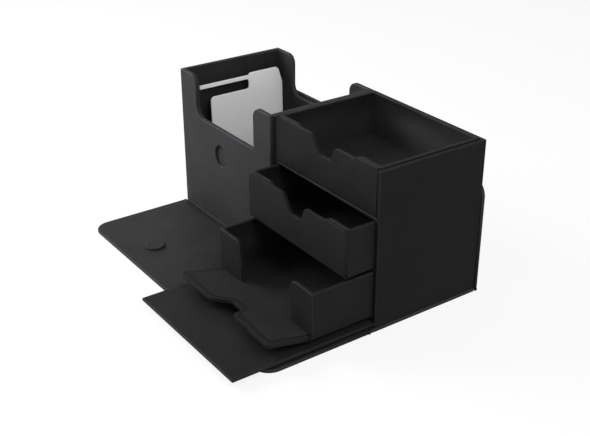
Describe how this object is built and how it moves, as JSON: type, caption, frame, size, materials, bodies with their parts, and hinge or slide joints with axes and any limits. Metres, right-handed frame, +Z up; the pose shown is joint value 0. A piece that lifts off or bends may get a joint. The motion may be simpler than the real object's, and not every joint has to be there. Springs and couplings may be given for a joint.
{
  "type": "trading card drawer box",
  "caption": "Board storage box: an open deck compartment beside a cabinet of pull-out drawers with fold-down fronts, on a folding cover.",
  "frame": {"origin": "middle of the cover's base panel, on its underside", "axes": "+X to the right along the drawer fronts, +Y to the back, +Z up"},
  "size_m": [0.238, 0.1983, 0.1139],
  "materials": {
    "cover_board": "soft-touch matte",
    "block_board": "soft-touch matte",
    "drawer_board": "soft-touch matte",
    "catch_cover": "soft-touch matte",
    "divider_sheet": "frosted"
  },
  "bodies": {
    "box": {"cover_base_panel": "cover_board", "cover_front_fold": "cover_board", "cover_rear_fold": "cover_board", "deck_front_wall": "block_board", "deck_strike_disc": "catch_cover", "deck_back_wall": "block_board", "deck_end_wall": "block_board", "deck_end_lining": "block_board", "deck_inner_wall": "block_board", "deck_floor": "block_board", "cabinet_plinth": "block_board", "cabinet_floor": "block_board", "cabinet_left_wall": "block_board", "cabinet_right_wall": "block_board", "cabinet_back_wall": "block_board", "cabinet_lower_shelf": "block_board", "cabinet_upper_shelf": "block_board", "door_fold": "cover_board"},
    "front_flap": {"cover_front_flap": "cover_board", "front_flap_catch": "catch_cover"},
    "rear_flap": {"cover_rear_flap": "cover_board"},
    "door": {"door_panel": "cover_board"},
    "divider": {"deck_divider": "divider_sheet"},
    "lower_drawer": {"lower_drawer_floor": "drawer_board", "lower_drawer_left_side": "drawer_board", "lower_drawer_right_side": "drawer_board", "lower_drawer_back": "drawer_board", "lower_drawer_left_return": "drawer_board", "lower_drawer_right_return": "drawer_board", "lower_drawer_fold": "drawer_board"},
    "lower_flap": {"lower_drawer_flap": "drawer_board"},
    "middle_drawer": {"middle_drawer_floor": "drawer_board", "middle_drawer_left_side": "drawer_board", "middle_drawer_right_side": "drawer_board", "middle_drawer_back": "drawer_board", "middle_drawer_left_return": "drawer_board", "middle_drawer_right_return": "drawer_board", "middle_drawer_fold": "drawer_board"},
    "middle_flap": {"middle_drawer_flap": "drawer_board"},
    "top_drawer": {"top_drawer_floor": "drawer_board", "top_drawer_left_side": "drawer_board", "top_drawer_right_side": "drawer_board", "top_drawer_back": "drawer_board", "top_drawer_left_return": "drawer_board", "top_drawer_right_return": "drawer_board", "top_drawer_fold": "drawer_board"},
    "top_flap": {"top_drawer_flap": "drawer_board"}
  },
  "joints": [
    {"name": "front_flap_hinge", "type": "hinge", "parent": "box", "child": "front_flap", "pos_m": [0, -0.0468, 0.00125], "axis": [-1, 0, 0], "range_deg": [0, 3]},
    {"name": "door_hinge", "type": "hinge", "parent": "box", "child": "door", "pos_m": [0.0614, -0.0438, 0.00605], "axis": [-1, 0, 0], "range_deg": [0, 3]},
    {"name": "rear_flap_hinge", "type": "hinge", "parent": "box", "child": "rear_flap", "pos_m": [0, 0.0468, 0.00125], "axis": [1, 0, 0], "range_deg": [-90, 0]},
    {"name": "divider_lift", "type": "slide", "parent": "box", "child": "divider", "axis": [0, 0, 1], "range_m": [0, 0.1]},
    {"name": "lower_drawer_slide", "type": "slide", "parent": "box", "child": "lower_drawer", "axis": [0, 1, 0], "range_m": [-0.0217, 0.0503]},
    {"name": "lower_flap_hinge", "type": "hinge", "parent": "lower_drawer", "child": "lower_flap", "pos_m": [0.0614, -0.09135, 0.01125], "axis": [-1, 0, 0], "range_deg": [-12, 78]},
    {"name": "middle_drawer_slide", "type": "slide", "parent": "box", "child": "middle_drawer", "axis": [0, 1, 0], "range_m": [-0.0489, 0.0231]},
    {"name": "middle_flap_hinge", "type": "hinge", "parent": "middle_drawer", "child": "middle_flap", "pos_m": [0.0614, -0.06415, 0.04675], "axis": [-1, 0, 0], "range_deg": [-90, 0]},
    {"name": "top_drawer_slide", "type": "slide", "parent": "box", "child": "top_drawer", "axis": [0, 1, 0], "range_m": [-0.072, 0]},
    {"name": "top_flap_hinge", "type": "hinge", "parent": "top_drawer", "child": "top_flap", "pos_m": [0.0614, -0.04105, 0.08225], "axis": [-1, 0, 0], "range_deg": [-90, 0]}
  ],
  "couplings": [
    {"joint": "door_hinge", "follows": "front_flap_hinge", "ratio": 1}
  ]
}
